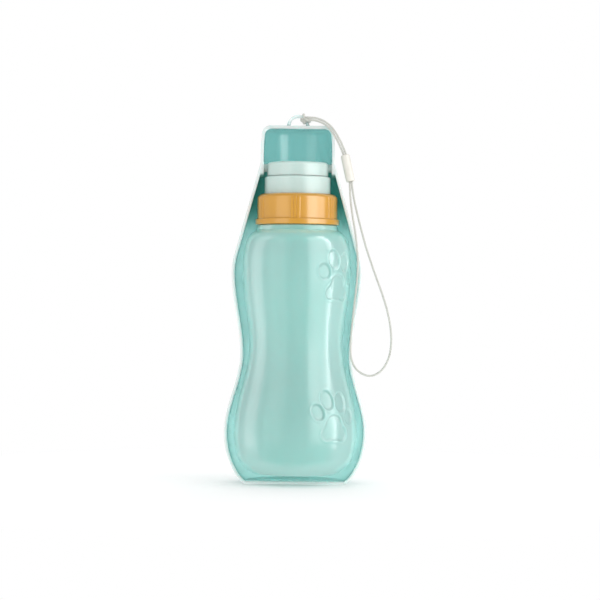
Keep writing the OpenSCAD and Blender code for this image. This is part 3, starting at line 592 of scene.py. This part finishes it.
strands = {side: lead + side * STRAND_GAP * beside for side in (-1, 1)}
way_in = [list(strands[-1][-1] - sleeve_way * 2.2)] + [list(p) for p in strands[-1][::-1]]
way_out = [list(p) for p in strands[1]] + [list(strands[1][-1] - sleeve_way * 2.2)]
hitch = [list(hitch_point(t, -s, r)) for t, s, r in HITCH_HALF]
hitch += [list(hitch_point(t, s, r)) for t, s, r in HITCH_HALF[::-1]]
CORD_PITCH = 0.3
lead_line = run_through(way_in + hitch + way_out, CORD_PITCH)
knot = np.array([EYE_R * math.cos(math.radians(HITCH_AT)), EYE_BACK, TRAY_TOP + EYE_R * math.sin(math.radians(HITCH_AT))])
knot_swell = 1 + KNOT_SWELL * np.exp(-((np.linalg.norm(lead_line - knot, axis=1) / KNOT_REACH) ** 4))
lead_cord = laid_cord("hitch_and_lead_cord", lead_line, CORD_PITCH, knot_swell)
loop_line = run_through([list(np.array(LOOP_ROUTE[0]) + sleeve_way * 1.6)] + LOOP_ROUTE
                        + [list(np.array(LOOP_ROUTE[-1]) + sleeve_way * 1.6)], CORD_PITCH)
loop_cord = laid_cord("wrist_loop_cord", loop_line, CORD_PITCH, np.ones(len(loop_line)))

# Laid polyester: matt and slightly warm grey, with fine fibres that run round each strand.
polyester, tree, out = new_material("laid_polyester_cord")
place = add_node(tree, "ShaderNodeTexCoord").outputs["Object"]
fibre = add_node(tree, "ShaderNodeTexNoise", {"Vector": place, "Scale": per(0.5), "Detail": 3.0})
soil = add_node(tree, "ShaderNodeTexNoise", {"Vector": place, "Scale": per(9), "Detail": 2.0})
pale = add_node(tree, "ShaderNodeMix", {
    0: soil.outputs["Fac"], 6: colour("C6C6BC"), 7: colour("D2D3CB")}, data_type="RGBA")
tint = add_node(tree, "ShaderNodeMix", {
    0: fibre.outputs["Fac"], 6: pale.outputs[2], 7: colour("DEDFD9")}, data_type="RGBA")
bump = add_node(tree, "ShaderNodeBump", {
    "Height": fibre.outputs["Fac"], "Strength": 0.4, "Distance": 0.00008})
cloth = add_node(tree, "ShaderNodeBsdfPrincipled", {
    "Base Color": tint.outputs[2], "Roughness": 0.8, "IOR": 1.5, "Sheen Weight": 0.2,
    "Sheen Roughness": 0.5, "Normal": bump.outputs["Normal"]})
tree.links.new(cloth.outputs[0], out.inputs["Surface"])
finish_piece(lead_cord, "tray", "cord", polyester, "lanyard_hitch", "lanyard_lead")
finish_piece(loop_cord, "tray", "cord", polyester, "wrist_loop")

# Cord sleeve: a pale moulded barrel that both runs of the cord go through, with a fine mould line.
SLEEVE_R, SLEEVE_EDGE, SLEEVE_HOLE_R, SLEEVE_HOLE = 2.8, 0.7, 1.75, 2.6
sleeve_h = float(np.linalg.norm(sleeve_top - sleeve_foot)) - 0.5
corner = [(1 - math.cos(t), 1 - math.sin(t)) for t in np.linspace(0, math.pi / 2, 6)]
wall = [(SLEEVE_R - SLEEVE_EDGE * x, sleeve_h - SLEEVE_EDGE * y) for x, y in corner]
foot = [(SLEEVE_R - 0.12 - SLEEVE_EDGE * x, SLEEVE_EDGE * y) for x, y in corner[::-1]]
rows_of = [(0.01, SLEEVE_HOLE), (SLEEVE_HOLE_R, SLEEVE_HOLE), (SLEEVE_HOLE_R, 0.3), (SLEEVE_HOLE_R + 0.2, 0)]
rows_of += foot + [(SLEEVE_R, 3.0), (SLEEVE_R, 9.0)] + wall
rows_of += [(SLEEVE_HOLE_R + 0.2, sleeve_h), (SLEEVE_HOLE_R, sleeve_h - 0.3)]
rows_of += [(SLEEVE_HOLE_R, sleeve_h - SLEEVE_HOLE), (0.01, sleeve_h - SLEEVE_HOLE)]
sleeve_turns = np.array(span(0, 360, 7.5))
barrel = lathe_points(rows_of, sleeve_turns)
radius = np.hypot(barrel[..., 0], barrel[..., 1])
mould = (np.abs(sleeve_turns % 180 - 30) < 0.1)[None, :] * (radius > 2.2) * 0.12
barrel[..., :2] *= ((radius + mould) / radius)[..., None]
cols = len(sleeve_turns)
faces = wrap_faces(len(barrel), cols)
faces += [list(range(cols))[::-1], list(range((len(barrel) - 1) * cols, len(barrel) * cols))]
turn_to = Vector((0, 0, 1)).rotation_difference(Vector(sleeve_way)).to_matrix()
barrel = barrel.reshape(-1, 3) @ np.array(turn_to).T + sleeve_foot + sleeve_way * 0.25
sleeve = make_mesh("cord_sleeve", barrel, faces, sharp=50)
acetal, tree, out = new_material("pale_acetal")
place = add_node(tree, "ShaderNodeTexCoord").outputs["Object"]
cloud = add_node(tree, "ShaderNodeTexNoise", {"Vector": place, "Scale": per(4), "Detail": 2.0})
tint = add_node(tree, "ShaderNodeMix", {
    0: cloud.outputs["Fac"], 6: colour("DCD9CF"), 7: colour("E6E4DC")}, data_type="RGBA")
skin = add_node(tree, "ShaderNodeMapRange", {
    "Value": cloud.outputs["Fac"], "To Min": 0.35, "To Max": 0.5})
hard = add_node(tree, "ShaderNodeBsdfPrincipled", {
    "Base Color": tint.outputs[2], "Roughness": skin.outputs["Result"], "IOR": 1.48})
tree.links.new(hard.outputs[0], out.inputs["Surface"])
finish_piece(sleeve, "tray", "sleeve_plastic", acetal, "lanyard_sleeve")


# Floor: a plain white table. Camera rays see it as white where the lamps reach it, and its shadow stays.
FLOOR_REACH = 3.0
floor_data = bpy.data.meshes.new("floor")
floor_data.from_pydata([(x * FLOOR_REACH, y * FLOOR_REACH, 0) for x, y in ((-1, -1), (1, -1), (1, 1), (-1, 1))],
                       [], [(0, 1, 2, 3)])
floor = bpy.data.objects.new("floor", floor_data)
bpy.context.scene.collection.objects.link(floor)
floor.visible_glossy = False
paper, tree, out = new_material("white_table")
place = add_node(tree, "ShaderNodeTexCoord").outputs["Object"]
sight = add_node(tree, "ShaderNodeLightPath").outputs["Is Camera Ray"]
matt = add_node(tree, "ShaderNodeBsdfDiffuse", {"Color": [0.8, 0.8, 0.8, 1]})
lift = add_node(tree, "ShaderNodeEmission", {"Color": [1, 1, 1, 1], "Strength": 0.5})
both = add_node(tree, "ShaderNodeAddShader", {0: matt.outputs[0], 1: lift.outputs[0]})
dim_lift = add_node(tree, "ShaderNodeEmission", {"Color": [1, 1, 1, 1], "Strength": 0.16})
near = add_node(tree, "ShaderNodeAddShader", {0: matt.outputs[0], 1: dim_lift.outputs[0]})
white = add_node(tree, "ShaderNodeEmission", {"Color": [1, 1, 1, 1], "Strength": 1.0})
reach = add_node(tree, "ShaderNodeVectorMath", {0: place}, operation="LENGTH")
far = add_node(tree, "ShaderNodeMapRange", {
    "Value": reach.outputs["Value"], "From Min": 0.16, "From Max": 0.3}, interpolation_type="SMOOTHSTEP")
seen = add_node(tree, "ShaderNodeMixShader", {0: far.outputs["Result"], 1: near.outputs[0], 2: white.outputs[0]})
shown = add_node(tree, "ShaderNodeMixShader", {0: sight, 1: both.outputs[0], 2: seen.outputs[0]})
tree.links.new(shown.outputs[0], out.inputs["Surface"])
floor_data.materials.append(paper)

# Studio: white walls all round for the camera and clear plastic, and dimmer greys for plain light and gloss.
AMBIENT, GLOSS_AMBIENT = 0.85, 0.25
world = bpy.data.worlds.new("studio")
bpy.context.scene.world = world
world.use_nodes = True
tree = world.node_tree
tree.nodes.clear()
rays = add_node(tree, "ShaderNodeLightPath")
sees = add_node(tree, "ShaderNodeMath", {0: rays.outputs["Is Camera Ray"], 1: rays.outputs["Is Transmission Ray"]},
                operation="MAXIMUM")
dim = add_node(tree, "ShaderNodeMapRange", {
    "Value": rays.outputs["Is Glossy Ray"], "To Min": AMBIENT, "To Max": GLOSS_AMBIENT})
level = add_node(tree, "ShaderNodeMapRange", {
    "Value": sees.outputs[0], "To Min": dim.outputs["Result"], "To Max": 1.0})
air = add_node(tree, "ShaderNodeBackground", {"Color": [1, 1, 1, 1], "Strength": level.outputs["Result"]})
sky = add_node(tree, "ShaderNodeOutputWorld", {"Surface": air.outputs[0]})

# Softboxes: a bright one to the right and a dimmer one to the left, and a lit backdrop behind.
# Plain light and gloss have panels of their own, so that each gloss band has its own edges.
AWAY, TALL, GLOSS_TALL, GLOSS_MIDDLE = 0.9, 1.3, 1.8, 0.65
for name, low_turn, high_turn, level, gloss in (
        ("right_softbox", 31, 90, 0.9, False), ("left_softbox", -102, -22, 0.1, False),
        ("backdrop", 130, 230, 1.2, False),
        ("right_front_panel", 28, 58, 4.2, True), ("right_side_panel", 58, 84, 2.8, True),
        ("left_front_panel", -62, -23, 1.3, True), ("left_side_panel", -110, -62, 0.4, True)):
    tall, middle = (GLOSS_TALL, GLOSS_MIDDLE) if gloss else (TALL, TALL / 2 + 0.02)
    wide = 2 * AWAY * math.tan(math.radians(high_turn - low_turn) / 2)
    lamp = bpy.data.lights.new(name, "AREA")
    lamp.shape, lamp.size, lamp.size_y = "RECTANGLE", wide, tall
    lamp.energy = level * math.pi * wide * tall
    stand = bpy.data.objects.new(name, lamp)
    a = math.radians(low_turn + high_turn) / 2
    stand.location = (AWAY * math.sin(a), -AWAY * math.cos(a), middle)
    stand.rotation_euler = (math.pi / 2, 0, a)
    stand.visible_glossy = gloss
    stand.visible_diffuse = not gloss
    stand.visible_camera = stand.visible_transmission = stand.visible_volume_scatter = False
    bpy.context.scene.collection.objects.link(stand)

# Camera: level with the middle of the bottle, square to the tray's open side, with a long lens.
camera_data = bpy.data.cameras.new("camera")
camera_data.sensor_width = 36
camera_data.lens = 120.96
camera = bpy.data.objects.new("camera", camera_data)
camera.location = (0.0022, -1.25, 0.1138)
camera.rotation_euler = (math.pi / 2, math.radians(-0.589), 0)
bpy.context.scene.collection.objects.link(camera)
bpy.context.scene.camera = camera
bpy.context.scene.view_settings.view_transform = "Standard"
